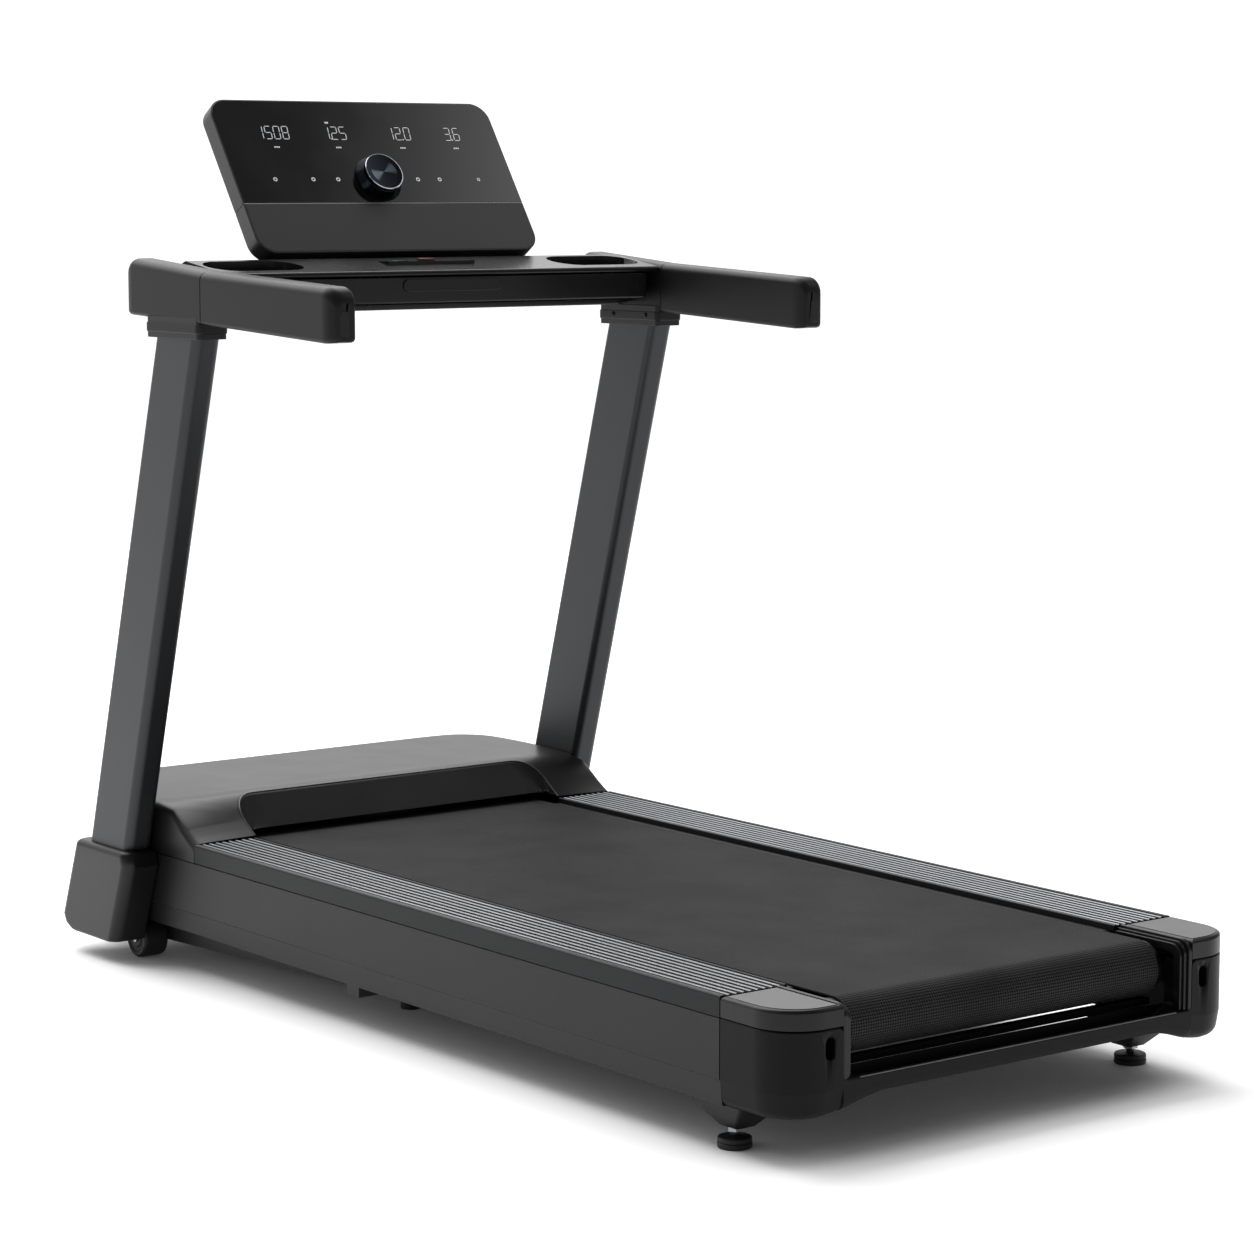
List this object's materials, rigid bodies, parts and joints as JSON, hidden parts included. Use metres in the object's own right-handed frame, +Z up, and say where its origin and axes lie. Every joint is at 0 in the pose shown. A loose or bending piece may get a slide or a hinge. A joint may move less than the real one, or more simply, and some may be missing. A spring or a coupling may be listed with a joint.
{
  "type": "treadmill",
  "caption": "Folding motorised treadmill: ribbed foot rails, belt deck with motor hood, two leaning uprights, hand grips and a tilted console with a dial.",
  "frame": {"origin": "on the floor under the centre of the whole machine's box", "axes": "+Y towards the console, +X to the runner's right, +Z up"},
  "size_m": [0.86, 1.66, 1.2529],
  "materials": {
    "frame_paint": "satin powder coat",
    "upright_paint": "satin powder coat",
    "shell_plastic": "fine moulded texture",
    "rail_aluminium": "dark anodised",
    "belt_rubber": "woven-pattern PVC",
    "board_wood": "waxed",
    "roller_steel": "turned",
    "plain_steel": "zinc plated",
    "black_rubber": "matte",
    "glass_black": "polished",
    "panel_plastic": "satin",
    "grip_skin": "soft touch",
    "motor_paint": "black paint",
    "circuit_green": "solder mask",
    "dial_metal": "spun, dark anodised",
    "chrome_rod": "polished",
    "key_red": "satin"
  },
  "bodies": {
    "base": {"base_cross_tubes": "frame_paint", "base_side_tubes": "frame_paint", "base_pads": "black_rubber", "hinge_lugs": "frame_paint", "fold_pins": "plain_steel", "wheel_axles": "plain_steel", "upright_left": "upright_paint", "upright_right": "upright_paint", "boots": "shell_plastic", "collars": "shell_plastic", "collar_screws": "plain_steel", "arm_covers": "shell_plastic", "grip_left": "grip_skin", "grip_right": "grip_skin", "grip_plugs": "shell_plastic", "tray_top": "shell_plastic", "tray_underside": "shell_plastic", "console_crossbar": "frame_paint", "tray_port_cover": "shell_plastic", "console_shell": "shell_plastic", "console_glass": "glass_black", "console_panel": "panel_plastic", "display_board": "circuit_green", "dial_encoder": "circuit_green", "console_neck": "shell_plastic", "safety_key_dock": "shell_plastic", "strut_bracket": "frame_paint"},
    "deck": {"deck_beams": "frame_paint", "deck_crossmembers": "frame_paint", "strut_crossmember": "frame_paint", "running_board": "board_wood", "board_cushions": "black_rubber", "running_belt": "belt_rubber", "roller_axles": "plain_steel", "belt_adjuster_bolts": "plain_steel", "side_rails": "rail_aluminium", "side_skirts": "upright_paint", "rear_fascia": "shell_plastic", "rear_caps": "shell_plastic", "hood": "shell_plastic", "belly_pan": "frame_paint", "drive_motor": "motor_paint", "motor_mount": "frame_paint", "drive_belt": "black_rubber", "motor_controller": "dial_metal", "power_inlet": "shell_plastic", "foot_brackets": "frame_paint", "lock_nuts": "plain_steel"},
    "front_roller": {"front_roller": "roller_steel"},
    "rear_roller": {"rear_roller": "roller_steel"},
    "motor_rotor": {"motor_rotor": "roller_steel"},
    "foot_left": {"levelling_foot_left": "black_rubber"},
    "foot_right": {"levelling_foot_right": "black_rubber"},
    "wheel_left": {"transport_wheel_left": "black_rubber"},
    "wheel_right": {"transport_wheel_right": "black_rubber"},
    "dial": {"dial": "dial_metal"},
    "safety_key": {"safety_key": "key_red"},
    "power_switch": {"power_switch": "shell_plastic"},
    "strut_cylinder": {"strut_cylinder": "motor_paint"},
    "strut_rod": {"strut_rod": "chrome_rod"}
  },
  "joints": [
    {"name": "deck_fold", "type": "hinge", "parent": "base", "child": "deck", "pos_m": [0, 0.77, 0.11], "axis": [-1, 0, 0], "range_deg": [0, 57]},
    {"name": "front_roller_spin", "type": "hinge", "parent": "deck", "child": "front_roller", "pos_m": [0, 0.535, 0.153], "axis": [1, 0, 0], "continuous": true},
    {"name": "rear_roller_spin", "type": "hinge", "parent": "deck", "child": "rear_roller", "pos_m": [0, -0.77, 0.153], "axis": [1, 0, 0], "continuous": true},
    {"name": "motor_spin", "type": "hinge", "parent": "deck", "child": "motor_rotor", "pos_m": [0, 0.67, 0.13], "axis": [1, 0, 0], "continuous": true},
    {"name": "foot_left_turn", "type": "hinge", "parent": "deck", "child": "foot_left", "pos_m": [-0.331, -0.684, 0.03], "axis": [0, 0, 1], "continuous": true},
    {"name": "foot_right_turn", "type": "hinge", "parent": "deck", "child": "foot_right", "pos_m": [0.331, -0.684, 0.03], "axis": [0, 0, 1], "continuous": true},
    {"name": "wheel_left_spin", "type": "hinge", "parent": "base", "child": "wheel_left", "pos_m": [-0.355, 0.654, 0.028], "axis": [1, 0, 0], "continuous": true},
    {"name": "wheel_right_spin", "type": "hinge", "parent": "base", "child": "wheel_right", "pos_m": [0.355, 0.654, 0.028], "axis": [1, 0, 0], "continuous": true},
    {"name": "dial_turn", "type": "hinge", "parent": "base", "child": "dial", "pos_m": [0, 0.55721, 1.13756], "axis": [0, -0.83, 0.5577], "continuous": true},
    {"name": "key_pull", "type": "slide", "parent": "base", "child": "safety_key", "axis": [0, 0, 1], "range_m": [0, 0.04]},
    {"name": "switch_rock", "type": "hinge", "parent": "deck", "child": "power_switch", "pos_m": [-0.2115, 0.823, 0.102], "axis": [1, 0, 0], "range_deg": [0, 10]},
    {"name": "strut_swing", "type": "hinge", "parent": "base", "child": "strut_cylinder", "pos_m": [0, 0.14, 0.066], "axis": [1, 0, 0], "range_deg": [0, 25.7]},
    {"name": "strut_extend", "type": "slide", "parent": "strut_cylinder", "child": "strut_rod", "axis": [0, 0.9988, 0.0479], "range_m": [0, 0.157]}
  ],
  "couplings": [
    {"joint": "rear_roller_spin", "follows": "front_roller_spin", "ratio": 1},
    {"joint": "motor_spin", "follows": "front_roller_spin", "ratio": 2.4724},
    {"joint": "strut_swing", "follows": "deck_fold", "ratio": 0.43322},
    {"joint": "strut_extend", "follows": "deck_fold", "m_per_rad": 0.15418}
  ]
}
